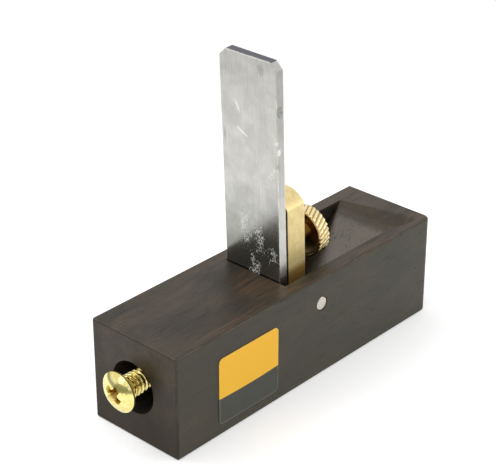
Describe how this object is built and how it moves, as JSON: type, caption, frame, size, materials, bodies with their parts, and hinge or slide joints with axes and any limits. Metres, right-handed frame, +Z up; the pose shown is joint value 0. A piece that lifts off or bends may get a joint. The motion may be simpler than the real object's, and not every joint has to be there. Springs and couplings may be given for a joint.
{
  "type": "small scraping plane",
  "caption": "Small wooden scraping plane with a nearly upright steel iron, held by a brass lever cap with a knurled thumb screw and backed by a brass heel screw.",
  "frame": {"origin": "middle of the whole part's footprint, on the sole", "axes": "+X along the sole towards the toe, -Y towards the side with the label, +Z up from the sole"},
  "size_m": [0.1091, 0.0301, 0.0916],
  "materials": {
    "ebony": "rubbed satin",
    "tool_steel": "ground",
    "brass": "satin",
    "pin_steel": "turned",
    "label_film": "printed film"
  },
  "bodies": {
    "plane": {"plane_body": "ebony", "cross_pin": "pin_steel", "screw_insert": "brass", "label": "label_film"},
    "iron": {"plane_iron": "tool_steel"},
    "cap": {"lever_cap": "brass"},
    "thumb_point": {"thumb_screw_point": "brass"},
    "thumb": {"thumb_screw": "brass"},
    "heel_point": {"heel_screw_point": "brass"},
    "heel": {"heel_screw": "brass"}
  },
  "joints": [
    {"name": "iron_slide", "type": "slide", "parent": "plane", "child": "iron", "axis": [-0.0401, 0, 0.9992], "range_m": [-0.001, 0.03]},
    {"name": "cap_rock", "type": "hinge", "parent": "plane", "child": "cap", "pos_m": [0.00733, 0, 0.0219], "axis": [0, 1, 0], "range_deg": [-5, 0]},
    {"name": "thumb_feed", "type": "slide", "parent": "cap", "child": "thumb_point", "axis": [-0.9992, 0, -0.0401], "range_m": [-0.00105, 0]},
    {"name": "thumb_turn", "type": "hinge", "parent": "thumb_point", "child": "thumb", "pos_m": [0.00683, 0, 0.03419], "axis": [-0.9992, 0, -0.0401], "range_deg": [-541, 0]},
    {"name": "heel_feed", "type": "slide", "parent": "plane", "child": "heel_point", "axis": [1, 0, 0], "range_m": [-0.005, 0]},
    {"name": "heel_turn", "type": "hinge", "parent": "heel_point", "child": "heel", "pos_m": [-0.0474, 0.0006, 0.0161], "axis": [1, 0, 0], "range_deg": [-1418, 0]}
  ],
  "couplings": [
    {"joint": "thumb_turn", "follows": "thumb_feed", "rad_per_m": 8976},
    {"joint": "cap_rock", "follows": "thumb_feed", "rad_per_m": 81.301},
    {"joint": "heel_turn", "follows": "heel_feed", "rad_per_m": 4947.4}
  ]
}
